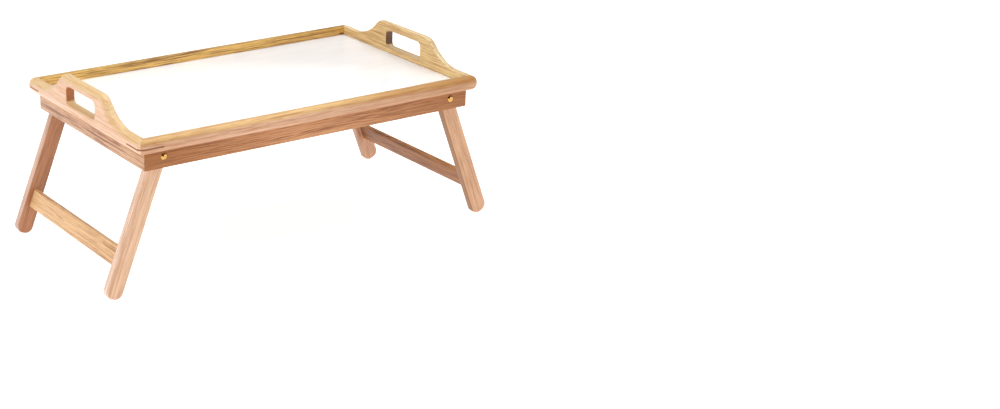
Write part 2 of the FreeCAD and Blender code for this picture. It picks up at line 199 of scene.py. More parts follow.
def cut(piece, tool, how="DIFFERENCE"):
    """The tool is taken out of the piece, or trims it, and is then thrown away."""
    modifier = piece.modifiers.new("cut", "BOOLEAN")
    modifier.object, modifier.operation, modifier.solver = tool, how, "EXACT"
    pick(piece)
    bpy.ops.object.modifier_apply(modifier=modifier.name)
    bpy.data.objects.remove(tool)
    choose(piece, "faces", lambda centre, normal: True)
    bpy.ops.mesh.remove_doubles(threshold=EPSILON)
    done()


def plane_flat(piece):
    """Faces that lie in one plane become one face."""
    choose(piece, "faces", lambda centre, normal: True)
    bpy.ops.mesh.dissolve_limited(angle_limit=math.radians(0.5))
    done()


def copied(piece, name, turn=(0, 0, 0), place=(0, 0, 0)):
    """A copy with its own mesh, turned about the origin and then moved."""
    pick(piece)
    bpy.ops.object.duplicate()
    copy = bpy.context.object
    copy.name = name
    copy.rotation_euler = turn
    copy.location = place
    settle(copy)
    return copy


def lies(axis, level):
    """Whether an edge lies in the plane where that axis has that value."""
    return lambda corners: all(abs(corner[axis] - level) < EPSILON for corner in corners)


def runs(corners, axis):
    """Whether an edge runs along an axis."""
    along = corners[1] - corners[0]
    return abs(along[axis]) > STRAIGHT * along.length


def finish_piece(piece, node, wood, arris=ARRIS, angle=40):
    """Sanded edges and smooth rounds; the piece takes its node's place, body and finish."""
    piece.data.materials.clear()
    for material in wood:
        piece.data.materials.append(material)
    for face in piece.data.polygons:
        face.material_index = 0
    if arris:
        modifier = piece.modifiers.new("arris", "BEVEL")
        modifier.width, modifier.segments = arris, 2
        modifier.limit_method, modifier.angle_limit = "ANGLE", math.radians(angle)
        modifier.material = len(wood) - 1
        pick(piece)
        bpy.ops.object.modifier_apply(modifier=modifier.name)
    pick(piece)
    bpy.ops.object.shade_smooth_by_angle(angle=math.radians(angle - 5))
    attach(piece, body_of[node])
    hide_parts(node)


# ---------------------------------------------------------------- upper frame
X, Y, Z = 0, 1, 2
HALF_TURN = (0, 0, math.pi)


def frame_block(name):
    """The block that the frame's sides are shaped to, rounded all over."""
    made = block(name, (-HALF_LENGTH, -HALF_DEPTH, RAIL_BOTTOM), (HALF_LENGTH, HALF_DEPTH, RIM_TOP))
    round_edges(made, lambda corners: True, NOSE, NOSE_STEPS)
    return made


def key_blank(name, grow=0.0):
    """A flat triangle in the front left mitre, its corner rounded with the frame."""
    low = Vector((-HALF_LENGTH, -HALF_DEPTH, KEY_LOW.z))
    made = block(name, low, (low.x + KEY_REACH, low.y + KEY_REACH, KEY_HIGH.z))
    saw(made, (low.x + KEY_REACH, low.y, low.z), (1, 1, 0))
    if grow:
        choose(made, "faces", lambda centre, normal: min(normal.x, normal.y) < -FACING)
        bpy.ops.transform.translate(value=(-grow, -grow, 0))
        done()
    else:
        round_edges(made, lambda corners: runs(corners, Z) and lies(X, low.x)(corners)
                    and lies(Y, low.y)(corners), NOSE, NOSE_STEPS)
    return made


def turned_key(name, quarter, grow=0.0):
    """The key of another corner: 0 front left, 1 front right, 2 rear right, 3 rear left."""
    blank = key_blank(name, grow)
    if quarter % 2:
        shift = HALF_LENGTH - HALF_DEPTH
        blank.location = (shift, -shift, 0)
        settle(blank)
    blank.rotation_euler = (0, 0, quarter * math.pi / 2)
    settle(blank)
    return blank


def corner_key(name, quarter):
    """A key trimmed flush with the inside of the frame."""
    made = turned_key(name, quarter)
    well = block("well", (RIM_THICKNESS - HALF_LENGTH, RIM_THICKNESS - HALF_DEPTH, RAIL_BOTTOM),
                 (HALF_LENGTH - RIM_THICKNESS, HALF_DEPTH - RIM_THICKNESS, RIM_TOP))
    cut(made, well)
    return made


def long_rail():
    """The front rail: nose outside, ledge inside, mitred ends, a groove for each key."""
    inner = RIM_THICKNESS - HALF_DEPTH
    made = block("front_rail_blank", (-HALF_LENGTH - SPARE, -HALF_DEPTH - SPARE, RAIL_BOTTOM - SPARE),
                 (HALF_LENGTH + SPARE, inner, RIM_TOP + SPARE))
    saw(made, (0, 0, LEDGE_TOP), (0, 0, 1), keep_all=True)
    choose(made, "faces", lambda centre, normal: normal.y > FACING and centre.z < LEDGE_TOP)
    bpy.ops.mesh.extrude_region_move(TRANSFORM_OT_translate={"value": (0, BASE_WIDTH - RIM_THICKNESS, 0)})
    done()
    for end in (-1, 1):
        saw(made, (end * HALF_LENGTH, -HALF_DEPTH, 0), (end, 1, 0))
    cut(made, frame_block("rounding"), "INTERSECT")
    round_edges(made, lambda corners: runs(corners, X) and lies(Y, inner)(corners)
                and lies(Z, RIM_TOP)(corners), INNER_EASE, EASE_STEPS)
    for quarter in (0, 1):
        cut(made, turned_key("groove", quarter, SPARE))
    return made


def corner_waste(side):
    """What is rounded off the left board at its front (-1) or rear (1) corner."""
    low = (-HALF_LENGTH - SPARE, -HALF_DEPTH - SPARE, RAIL_BOTTOM - SPARE)
    high = (NOSE - HALF_LENGTH, NOSE - HALF_DEPTH, RIM_TOP + SPARE)
    made = block("waste", low, high)
    if side > 0:
        made.location = (0, 2 * HALF_DEPTH - NOSE + SPARE, 0)
        settle(made)
    cut(made, frame_block("rounding"))
    return made


def outline_edge(corners):
    """Whether an edge belongs to the handle board's top outline or bottom edge."""
    top = all(corner.z > RIM_TOP - EPSILON for corner in corners)
    return top or all(corner.z < RAIL_BOTTOM + EPSILON for corner in corners)


def handle_board():
    """The left handle board: outline, nose, hand slot, ledge, mitred ends and key grooves."""
    outer, inner = -HALF_LENGTH, RIM_THICKNESS - HALF_LENGTH
    made = block("handle_blank", (outer, -HALF_DEPTH, RAIL_BOTTOM), (inner, HALF_DEPTH, RIM_TOP))
    bend = math.tan(SWEEP_SLOPE / 2)
    shoulder = HANDLE_FLAT / 2 + SHOULDER_RADIUS * bend
    foot = shoulder + (HANDLE_TOP - RIM_TOP) / math.tan(SWEEP_SLOPE)
    for place in (-foot, -shoulder, shoulder, foot):
        saw(made, (0, place, 0), (0, 1, 0), keep_all=True)

    def across_top(reach):
        return lambda corners: (runs(corners, X) and corners[0].z > RIM_TOP - EPSILON
                                and abs(abs(corners[0].y) - reach) < EPSILON)

    choose(made, "edges", across_top(shoulder))
    bpy.ops.transform.translate(value=(0, 0, HANDLE_TOP - RIM_TOP))
    done()
    round_edges(made, across_top(shoulder), SHOULDER_RADIUS * bend, SHOULDER_STEPS)
    round_edges(made, across_top(foot), SWEEP_RADIUS * bend, SWEEP_STEPS)
    plane_flat(made)
    round_edges(made, lambda corners: lies(X, outer)(corners) and not runs(corners, Z)
                and outline_edge(corners), NOSE, NOSE_STEPS)
    round_edges(made, lambda corners: lies(X, inner)(corners) and not runs(corners, Z)
                and outline_edge(corners) and corners[0].z > RIM_TOP - EPSILON,
                INNER_EASE, EASE_STEPS)

    slot = block("slot", (outer - SPARE, -SLOT_LENGTH / 2, SLOT_TOP - SLOT_HEIGHT),
                 (inner + SPARE, SLOT_LENGTH / 2, SLOT_TOP))
    round_edges(slot, lambda corners: runs(corners, X), SLOT_CORNER, SLOT_STEPS)
    cut(made, slot)

    def on_slot(corners):
        inside = all(abs(corner.y) < SLOT_LENGTH / 2 + EPSILON
                     and SLOT_TOP - SLOT_HEIGHT - EPSILON < corner.z < SLOT_TOP + EPSILON
                     for corner in corners)
        return inside and (lies(X, outer)(corners) or lies(X, inner)(corners))

    round_edges(made, on_slot, SLOT_EASE, CORNER_STEPS)

    ledge = block("ledge", (inner - EPSILON, -HALF_DEPTH, RAIL_BOTTOM),
                  (BASE_WIDTH - HALF_LENGTH, HALF_DEPTH, LEDGE_TOP))
    cut(made, ledge, "UNION")
    for side in (-1, 1):
        saw(made, (-HALF_LENGTH, side * HALF_DEPTH, 0), (1, side, 0))
        cut(made, corner_waste(side))
    for quarter in (0, 3):
        cut(made, turned_key("groove", quarter, SPARE))
    return made


# ---------------------------------------------------------------- apron box
def apron(half_length, half_across):
    """An apron along X at the front, mitred, its lower edges and corners eased."""
    made = block("apron", (-half_length, -half_across, APRON_BOTTOM),
                 (half_length, APRON_THICKNESS - half_across, RAIL_BOTTOM))
    round_edges(made, lambda corners: runs(corners, X) and lies(Z, APRON_BOTTOM)(corners),
                APRON_EASE, EASE_STEPS)
    for end in (-1, 1):
        saw(made, (end * half_length, -half_across, 0), (end, 1, 0))
    corners_of = block("rounding", (-half_length, -half_across, APRON_BOTTOM - SPARE),
                       (half_length, half_across, RAIL_BOTTOM + SPARE))
    round_edges(corners_of, lambda corners: runs(corners, Z), APRON_CORNER, CORNER_STEPS)
    cut(made, corners_of, "INTERSECT")
    return made


# ---------------------------------------------------------------- leg frames
def leg():
    """A leg that hangs from the origin: round head, round foot, eased outline."""
    half, deep = LEG_WIDTH / 2, LEG_THICKNESS / 2
    made = block("leg", (-half, -deep, -LEG_REACH), (half, deep, half))
    round_edges(made, lambda corners: runs(corners, Y) and lies(Z, half)(corners),
                half - EPSILON, LEG_HEAD_STEPS)
    round_edges(made, lambda corners: runs(corners, Y) and lies(Z, -LEG_REACH)(corners),
                FOOT_RADIUS, FOOT_STEPS)
    round_edges(made, lambda corners: lies(Y, deep)(corners) or lies(Y, -deep)(corners),
                LEG_EASE, CORNER_STEPS)
    return made


def stretcher():
    """The rail between the legs, with a stub tenon at each end."""
    reach = LEG_MIDDLE - LEG_THICKNESS / 2
    half = STRETCHER_THICKNESS / 2
    made = block("stretcher", (-half, -reach, -STRETCHER_REACH - STRETCHER_WIDTH),
                 (half, reach, -STRETCHER_REACH))
    for side in (-1, 1):
        choose(made, "faces", lambda centre, normal: normal.y * side > FACING)
        bpy.ops.mesh.inset(thickness=TENON_SHOULDER)
        bpy.ops.mesh.extrude_region_move(TRANSFORM_OT_translate={"value": (0, side * TENON_LENGTH, 0)})
        done()
    round_edges(made, lambda corners: runs(corners, Y) and abs(abs(corners[0].x) - half) < EPSILON,
                STRETCHER_EASE, CORNER_STEPS)
    return made


def standing(piece, name, end, place=0.0):
    """A piece of an end frame, splayed outwards and set at its pivot: end is -1 left, 1 right."""
    return copied(piece, name, (0, -end * SPLAY, 0), (end * PIVOT_OFFSET, place, PIVOT_LEVEL))


# ---------------------------------------------------------------- pivots
def pivot_bolt():
    """A cup-head bolt from the apron's face at y = 0, its shank towards +Y."""
    rim = BOLT_HEAD_DIAMETER / 2
    crown = (rim ** 2 + BOLT_HEAD_HEIGHT ** 2) / (2 * BOLT_HEAD_HEIGHT)
    bpy.ops.object.select_all(action="DESELECT")
    bpy.ops.mesh.primitive_uv_sphere_add(segments=TURNED_SIDES, ring_count=TURNED_SIDES,
                                         radius=crown, rotation=(math.pi / 2, 0, 0),
                                         location=(0, crown - BOLT_HEAD_HEIGHT, 0))
    made = bpy.context.object
    settle(made)
    saw(made, (0, 0, 0), (0, 1, 0))
    choose(made, "faces", lambda centre, normal: normal.y > FACING)
    bpy.ops.mesh.inset(thickness=rim - BOLT_DIAMETER / 2)
    bpy.ops.mesh.extrude_region_move(
        TRANSFORM_OT_translate={"value": (0, APRON_HALF_DEPTH - NUT_FACE + NUT_HEIGHT + BOLT_TIP, 0)})
    done()
    return made


def disc(radius, depth, sides):
    """A disc along +Y from y = 0."""
    bpy.ops.object.select_all(action="DESELECT")
    bpy.ops.mesh.primitive_cylinder_add(vertices=sides, radius=radius, depth=depth,
                                        rotation=(math.pi / 2, 0, 0), location=(0, depth / 2, 0))
    made = bpy.context.object
    settle(made)
    return made


def bored(made, wall):
    """The disc with a hole that leaves that much at its corners."""
    choose(made, "faces", lambda centre, normal: abs(normal.y) > FACING)
    bpy.ops.mesh.inset(thickness=wall)
    bpy.ops.mesh.bridge_edge_loops()
    done()
    return made


def at_pivots(shape, word, node, materials, face):
    """The shape at the four pivots; its y = 0 goes to that distance from the tray's middle."""
    for row, turn in (("front", 0), ("rear", math.pi)):
        for end, side in (("left", -1), ("right", 1)):
            place = (side * PIVOT_OFFSET, -face if row == "front" else face, PIVOT_LEVEL)
            finish_piece(copied(shape, f"{row}_{end}_{word}", (0, 0, turn), place), node, materials,
                         arris=FITTING_ARRIS)
    bpy.data.objects.remove(shape)


# ---------------------------------------------------------------- node helpers
def new_material(name):
    """An empty material and its node tree."""
    material = bpy.data.materials.new(name)
    material.use_nodes = True
    tree = material.node_tree
    tree.nodes.clear()
    return material, tree


def node(tree, kind, inputs=None, **settings):
    """A new node; each input is given a value or linked to another node's output."""
    made = tree.nodes.new(kind)
    for key, value in settings.items():
        setattr(made, key, value)
    for key, value in (inputs or {}).items():
        if isinstance(value, bpy.types.NodeSocket):
            tree.links.new(value, made.inputs[key])
        else:
            made.inputs[key].default_value = value
    return made


def maths(tree, operation, first, second=None, third=None, clamp=False):
    """The result of one sum on values or outputs."""
    made = tree.nodes.new("ShaderNodeMath")
    made.operation = operation
    made.use_clamp = clamp
    for index, value in enumerate((first, second, third)):
        if isinstance(value, bpy.types.NodeSocket):
            tree.links.new(value, made.inputs[index])
        elif value is not None:
            made.inputs[index].default_value = value
    return made.outputs[0]


def mixed(tree, factor, first, second, blend="MIX"):
    """Two colours mixed or multiplied by a factor."""
    made = tree.nodes.new("ShaderNodeMix")
    made.data_type = "RGBA"
    made.blend_type = blend
    for index, value in ((0, factor), (6, first), (7, second)):
        if isinstance(value, bpy.types.NodeSocket):
            tree.links.new(value, made.inputs[index])
        else:
            made.inputs[index].default_value = (*value, 1) if isinstance(value, tuple) else value
    return made.outputs[2]


def noise(tree, place, stretch, detail=2.0, roughness=0.5):
    """Noise drawn out along a piece: stretch is cycles per metre along and across the grain."""
    along, across = stretch
    drawn = node(tree, "ShaderNodeMapping", {"Vector": place, "Scale": (along, across, across)})
    made = node(tree, "ShaderNodeTexNoise", {"Vector": drawn.outputs[0], "Scale": 1.0, "Detail": detail,
                                             "Roughness": roughness})
    return made.outputs["Fac"]


def eased(tree, value, low, high, to_low=0.0, to_high=1.0):
    """A smooth step from one value to another."""
    made = node(tree, "ShaderNodeMapRange", {"Value": value, "From Min": low, "From Max": high,
                                             "To Min": to_low, "To Max": to_high},
                interpolation_type="SMOOTHSTEP")
    return made.outputs["Result"]


def linear(red, green, blue):
    """A paint-box colour, 0 to 255, as the shader wants it."""
    def one(value):
        value /= 255
        return value / 12.92 if value <= 0.04045 else ((value + 0.055) / 1.055) ** 2.4
    return one(red), one(green), one(blue)


def surfaced(tree, tone, roughness, relief, strength, depth, extra=None):
    """The tone, roughness and relief put on a surface, with whatever else its shader takes."""
    bump = node(tree, "ShaderNodeBump", {"Height": relief, "Strength": strength, "Distance": depth})
    shader = node(tree, "ShaderNodeBsdfPrincipled", {"Base Color": tone, "Roughness": roughness,
                                                     "Normal": bump.outputs["Normal"], **(extra or {})})
    node(tree, "ShaderNodeOutputMaterial", {"Surface": shader.outputs["BSDF"]})


# ---------------------------------------------------------------- finishes
ALONG_X = (0, 0, 0)
ALONG_Y = (0, 0, math.radians(-90))
ALONG_LEFT_LEG = (0, -SPLAY - math.pi / 2, 0)
ALONG_RIGHT_LEG = (0, SPLAY - math.pi / 2, 0)


def lacquered_wood(name, turn, heart, face, side, top, streak, end=(0.30, 0.08, 0.012), ring=3.4,
                   bow=0.025, figure=0.4, streaks=0.5, clouds=0.5, lit_at=0.0, shade_reach=9.0,
                   far=(0.8, 0.72, 0.6)):
    """Lacquered hardwood and its sanded arris, with painted light and shade.

    turn lays the grain along the piece and heart is where the tree's middle lies from it, in metres.
    face, side and top are lit and shaded copies of one tone, towards the front or rear, the ends of the
    tray and the sky: painted light and shade. streak is the dark wood, all as paint-box colours; end tints
    the end grain darker and also paints the shade inside the hand slots. ring is the width of a year in
    millimetres and bow is how far the heart wanders.
    The board is painted palest at x = lit_at and takes the far tint towards shade_reach from it, its top
    twice over: a painted fall-off of the light along the tray.
    """
    face, side, top, streak = (linear(*tone) for tone in (face, side, top, streak))
    material, tree = new_material(name)
    place = node(tree, "ShaderNodeTexCoord")
    plank = node(tree, "ShaderNodeMapping", {"Vector": place.outputs["Object"], "Rotation": turn,
                                             "Location": heart})
    grain = plank.outputs["Vector"]

    # Growth rings are shells round a wandering heart line.
    sway = noise(tree, grain, (2.2, 6.0), 2.0)
    wobble = noise(tree, grain, (9.0, 40.0), 2.0)
    split = node(tree, "ShaderNodeSeparateXYZ", {"Vector": grain})
    across = maths(tree, "POWER", split.outputs["Y"], 2.0)
    radius = maths(tree, "SQRT", maths(tree, "MULTIPLY_ADD", split.outputs["Z"], split.outputs["Z"], across))
    radius = maths(tree, "MULTIPLY_ADD", sway, bow, radius)
    radius = maths(tree, "MULTIPLY_ADD", wobble, 0.006, radius)
    years = maths(tree, "FRACT", maths(tree, "DIVIDE", radius, ring * MM))
    late = maths(tree, "MULTIPLY", maths(tree, "POWER", years, 3.0), eased(tree, years, 1.0, 0.93))

    # Fibres, broader flames, slow clouds, and pores as short dark dashes.
    fibre = eased(tree, noise(tree, grain, (7.0, 380.0), 3.0, 0.65), 0.36, 0.64)
    fleck = eased(tree, noise(tree, grain, (24.0, 460.0), 2.0, 0.6), 0.36, 0.66)
    flame = eased(tree, noise(tree, grain, (5.0, 120.0), 3.0, 0.6), 0.36, 0.66)
    cloud = noise(tree, grain, (4.5, 30.0), 2.0)
    pore = eased(tree, noise(tree, grain, (45.0, 2200.0), 1.0), 0.40, 0.30)
    shade = maths(tree, "MULTIPLY", late, figure)
    for value, weight in ((fibre, 0.7 * streaks), (fleck, 0.8 * streaks), (flame, 0.7 * streaks),
                          (cloud, clouds)):
        shade = maths(tree, "MULTIPLY_ADD", maths(tree, "SUBTRACT", value, 0.5), weight, shade)
    shade = maths(tree, "ADD", shade, 0.2, clamp=True)

    # Tone by the way a surface faces, the top lit and the rest shaded: painted light and shade.
    # Then darker end grain, which also paints the shade in the hand slots.
    normal = node(tree, "ShaderNodeSeparateXYZ", {"Vector": place.outputs["Normal"]})
    sideways = maths(tree, "ABSOLUTE", normal.outputs["X"])
    # Painted light fall-off: the tone dims by the far tint away from x = lit_at.
    spot = node(tree, "ShaderNodeSeparateXYZ", {"Vector": place.outputs["Object"]})
    light_falloff = maths(tree, "ABSOLUTE", maths(tree, "SUBTRACT", spot.outputs["X"], lit_at))
    light_falloff = eased(tree, light_falloff, 0.0, shade_reach)
    base = mixed(tree, eased(tree, sideways, 0.35, 0.8), face, side)
    base = mixed(tree, eased(tree, normal.outputs["Z"], 0.1, 0.75), base,
                 mixed(tree, light_falloff, top, far, "MULTIPLY"))
    base = mixed(tree, light_falloff, base, far, "MULTIPLY")
    # End grain is darker wood; on the hand slots' end walls the same darkening is painted shade.
    facing = node(tree, "ShaderNodeMapping", {"Vector": place.outputs["Normal"], "Rotation": turn})
    along = node(tree, "ShaderNodeSeparateXYZ", {"Vector": facing.outputs[0]})
    end_grain_and_slot_shade = eased(tree, maths(tree, "ABSOLUTE", along.outputs["X"]), 0.72, 0.97)
    shade = maths(tree, "MULTIPLY_ADD", end_grain_and_slot_shade, 0.55, shade, clamp=True)
    colour = mixed(tree, shade, base, streak)
    colour = mixed(tree, maths(tree, "MULTIPLY", end_grain_and_slot_shade, 0.8), colour, end)
    colour = mixed(tree, maths(tree, "MULTIPLY", pore, 0.45), colour, streak)

    height = maths(tree, "MULTIPLY_ADD", pore, -0.8, fibre)
    smear = noise(tree, grain, (14.0, 60.0), 2.0)
    rough = maths(tree, "MULTIPLY_ADD", fibre, 0.12, maths(tree, "MULTIPLY_ADD", smear, 0.12, 0.30))
    surfaced(tree, colour, rough, height, 0.16, 0.4 * MM,
             {"Specular IOR Level": 0.35, "Coat Weight": 0.12, "Coat Roughness": 0.2})

    # The arris is painted darker, broken by noise: painted shade standing for the dark outline of the
    # rounded edges.
    edge = material.copy()
    edge.name = name + ", sanded edge"
    made = edge.node_tree
    arris_shader = next(item for item in made.nodes if item.type == "BSDF_PRINCIPLED")
    colour = arris_shader.inputs["Base Color"].links[0].from_socket
    place = next(item for item in made.nodes if item.type == "TEX_COORD")
    arris_shade_noise = noise(made, place.outputs["Object"], (90.0, 90.0), 3.0)
    dark = mixed(made, maths(made, "MULTIPLY_ADD", arris_shade_noise, 0.5, 0.3), colour, streak)
    made.links.new(dark, arris_shader.inputs["Base Color"])
    return material, edge


def shiny_metal(name, colour, tarnish_and_rim_shade, roughness, rim):
    """Plated metal with fine turning marks, a little tarnish in patches, and painted shade as a dark ring
    past the rim's radius.
    """
    material, tree = new_material(name)
    place = node(tree, "ShaderNodeTexCoord").outputs["Object"]
    marks = noise(tree, place, (2600.0, 2600.0), 2.0)
    patch = noise(tree, place, (240.0, 240.0), 3.0)
    tone = mixed(tree, maths(tree, "MULTIPLY", eased(tree, patch, 0.45, 0.75), 0.6), colour, tarnish_and_rim_shade)
    # Painted shade: a dark ring round each pivot, past the rim's radius.
    spot = node(tree, "ShaderNodeSeparateXYZ", {"Vector": place})
    aside = maths(tree, "SUBTRACT", maths(tree, "ABSOLUTE", spot.outputs["X"]), PIVOT_OFFSET)
    above = maths(tree, "SUBTRACT", spot.outputs["Z"], PIVOT_LEVEL)
    reach = maths(tree, "SQRT", maths(tree, "MULTIPLY_ADD", aside, aside,
                                      maths(tree, "MULTIPLY", above, above)))
    rim_shade = eased(tree, reach, rim - 1.4 * MM, rim, 0.0, 0.85)
    tone = mixed(tree, rim_shade, tone, tarnish_and_rim_shade)
    surfaced(tree, tone, maths(tree, "MULTIPLY_ADD", patch, 0.16, roughness), marks, 0.05, 0.2 * MM,
             {"Metallic": 1.0})
    return (material,)


def white_laminate():
    """Smooth white laminate: the faintest orange peel and a few wiping marks."""
    material, tree = new_material("white laminate")
    place = node(tree, "ShaderNodeTexCoord").outputs["Object"]
    peel = noise(tree, place, (520.0, 520.0), 2.0)
    wipe = noise(tree, place, (9.0, 34.0), 3.0)
    tone = mixed(tree, wipe, (0.95, 0.965, 0.99), (0.97, 0.98, 0.995))
    surfaced(tree, tone, maths(tree, "MULTIPLY_ADD", wipe, 0.12, 0.12), peel, 0.03, 0.3 * MM)
    return (material,)


def hardboard():
    """Brown pressed board, mottled and matt, with a woven-screen back."""
    material, tree = new_material("brown hardboard")
    place = node(tree, "ShaderNodeTexCoord").outputs["Object"]
    chip = noise(tree, place, (420.0, 420.0), 4.0, 0.7)
    patch = noise(tree, place, (14.0, 14.0), 2.0)
    screen = [node(tree, "ShaderNodeTexWave", {"Vector": place, "Scale": 110.0}, bands_direction=axis)
              for axis in ("X", "Y")]
    weave = maths(tree, "MULTIPLY", screen[0].outputs["Fac"], screen[1].outputs["Fac"])
    tone = mixed(tree, chip, linear(96, 62, 38), linear(150, 108, 72))
    tone = mixed(tree, maths(tree, "MULTIPLY", patch, 0.4), tone, linear(88, 56, 34))
    height = maths(tree, "MULTIPLY_ADD", weave, 0.7, chip)
    surfaced(tree, tone, maths(tree, "MULTIPLY_ADD", chip, 0.2, 0.6), height, 0.3, 0.4 * MM)
    return (material,)


def nylon():
    """Natural nylon, slightly cloudy."""
    material, tree = new_material("natural nylon")
    place = node(tree, "ShaderNodeTexCoord").outputs["Object"]
    cloud = noise(tree, place, (160.0, 160.0), 3.0)
    tone = mixed(tree, cloud, (0.76, 0.73, 0.66), (0.86, 0.84, 0.79))
    surfaced(tree, tone, maths(tree, "MULTIPLY_ADD", cloud, 0.2, 0.3), cloud, 0.1, 0.3 * MM)
    return (material,)


# Painted light: the lit tone given to up-facing faces that hardly show.
LIT_TOP = (222, 180, 112)        # top edges that hardly show
# Face, side and top tones per piece are painted light and shade by facing, and far is a painted fall-off
# tint.
WOODS = {
    "front_rail": dict(
        turn=ALONG_X, heart=(0.1, 0.12, -0.21), face=(211, 168, 137), side=(214, 166, 130),
        top=(221, 183, 122), streak=(164, 104, 56), lit_at=-0.1, shade_reach=0.45,
        far=(0.77, 0.68, 0.53)),
    "rear_rail": dict(
        turn=ALONG_X, heart=(0.7, -0.15, -0.32), face=(239, 194, 107), side=(214, 166, 130),
        top=(198, 165, 101), streak=(128, 82, 34), figure=0.6, streaks=0.65, lit_at=-0.3,
        shade_reach=1.0),
    "left_handle_board": dict(
        turn=ALONG_Y, heart=(0.3, -0.27, -0.34), face=(222, 182, 148), side=(224, 187, 158),
        top=(212, 185, 136), streak=(196, 138, 90), figure=0.3, streaks=0.55),
    # Its end tone is mostly painted shade inside the hand slot.
    "right_handle_board": dict(
        turn=ALONG_Y, heart=(0.9, 0.27, -0.34), face=(200, 158, 104), side=(219, 187, 130),
        top=(217, 194, 152), streak=(158, 108, 54), streaks=0.6, end=linear(56, 24, 10)),
    # Its darker face is partly its own wood and partly painted shade under the rail's overhang; its far tint
    # is a strong painted fall-off.
    "front_apron": dict(
        turn=ALONG_X, heart=(0.5, 0.145, -0.262), face=(201, 143, 95), side=(181, 125, 83),
        top=LIT_TOP, streak=(138, 80, 36), ring=2.8, bow=0.05, figure=1.0, streaks=0.9,
        shade_reach=0.34, far=(0.62, 0.47, 0.21)),
    "rear_apron": dict(
        turn=ALONG_X, heart=(1.5, -0.14, -0.30), face=(196, 140, 92), side=(196, 140, 92),
        top=LIT_TOP, streak=(140, 82, 40)),
    "left_apron": dict(
        turn=ALONG_Y, heart=(1.5, -0.25, -0.30), face=(200, 150, 120), side=(207, 163, 125),
        top=LIT_TOP, streak=(136, 83, 50), figure=0.5, streaks=0.75),
    "right_apron": dict(
        turn=ALONG_Y, heart=(2.5, 0.25, -0.30), face=(206, 160, 122), side=(206, 160, 122),
        top=LIT_TOP, streak=(160, 102, 66)),
    "left_stretcher": dict(
        turn=ALONG_Y, heart=(0.4, -0.29, -0.15), face=(222, 178, 130), side=(226, 184, 136),
        top=(230, 188, 138), streak=(158, 102, 58), streaks=0.6),
    # Darker all over: painted shadow of the tray above it.
    "right_stretcher": dict(
        turn=ALONG_Y, heart=(1.4, 0.29, -0.15), face=(180, 122, 76), side=(167, 106, 54),
        top=(196, 140, 86), streak=(103, 57, 28), streaks=0.7),
}
LEG_TURNS = {"left": ALONG_LEFT_LEG, "right": ALONG_RIGHT_LEG}
LEG_HEARTS = {"front": (0.2, 0.05, 0.31), "rear": (1.2, 0.05, 0.31)}
# Each leg's face, side and top tones are lit and shaded copies: painted light and shade.
LEG_TONES = {
    "front_left": dict(face=(227, 188, 154), side=(243, 223, 205), streak=(178, 124, 92)),
    "front_right": dict(face=(219, 173, 135), side=(152, 112, 79), streak=(160, 104, 70)),
    "rear_left": dict(face=(185, 128, 90), side=(205, 174, 162), streak=(132, 82, 54)),
    "rear_right": dict(face=(216, 166, 132), side=(190, 146, 116), streak=(136, 84, 58)),
}
for corner, tones in LEG_TONES.items():
    row, side = corner.split("_")
    WOODS[f"{corner}_leg"] = dict(turn=LEG_TURNS[side], heart=LEG_HEARTS[row], top=(226, 178, 140),
                                  figure=0.2, streaks=0.4, **tones)
woods = {name: lacquered_wood(name.replace("_", " ") + " wood", **looks) for name, looks in WOODS.items()}
dark_key = lacquered_wood("dark corner key wood", ALONG_X, (0.2, 0.1, -0.3), face=(149, 96, 61),
                          side=(149, 96, 61), top=(128, 76, 42), streak=(84, 46, 24))
pale_key = lacquered_wood("pale corner key wood", ALONG_X, (0.6, 0.1, -0.3), face=(206, 160, 118),
                          side=(206, 160, 118), top=LIT_TOP, streak=(146, 92, 52))
plain_beech = lacquered_wood("plain beech", ALONG_X, (0.3, 0.1, -0.3), face=(220, 180, 140),
                             side=(220, 180, 140), top=(220, 180, 140), streak=(170, 120, 80))

# ---------------------------------------------------------------- the table put together
front_rail = long_rail()
finish_piece(copied(front_rail, "rear_rail_shaped", HALF_TURN), "rear_rail", woods["rear_rail"])
front_rail.name = "front_rail_shaped"
finish_piece(front_rail, "front_rail", woods["front_rail"])

left_board = handle_board()
finish_piece(copied(left_board, "right_handle_board_shaped", HALF_TURN), "right_handle_board",
             woods["right_handle_board"])
left_board.name = "left_handle_board_shaped"
finish_piece(left_board, "left_handle_board", woods["left_handle_board"])

for quarter, corner in enumerate(("front_left", "front_right", "rear_right", "rear_left")):
    key = corner_key(f"{corner}_key_shaped", quarter)
    finish_piece(key, f"{corner}_corner_key", dark_key if quarter == 0 else pale_key, arris=0)

for name, made, arris in (("panel_board", hardboard(), BOARD_ARRIS),
                          ("panel_laminate", white_laminate(), LAMINATE_ARRIS)):
    sheet = block(f"{name}_shaped", *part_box(name))
    round_edges(sheet, lambda corners: runs(corners, Z), PANEL_CORNER, CORNER_STEPS)
    finish_piece(sheet, name, made, arris=arris)

front_apron = apron(APRON_HALF_LENGTH, APRON_HALF_DEPTH)
finish_piece(copied(front_apron, "rear_apron_shaped", HALF_TURN), "rear_apron", woods["rear_apron"])
front_apron.name = "front_apron_shaped"
finish_piece(front_apron, "front_apron", woods["front_apron"])
end_apron = apron(APRON_HALF_DEPTH, APRON_HALF_LENGTH)
for name, quarter in (("left_apron", -1), ("right_apron", 1)):
    finish_piece(copied(end_apron, f"{name}_shaped", (0, 0, quarter * math.pi / 2)), name, woods[name])
bpy.data.objects.remove(end_apron)

for name in ("apron_corner_splines", "apron_tongues"):
    frame["nodes"][name].data.materials.clear()
    frame["nodes"][name].data.materials.append(plain_beech[0])

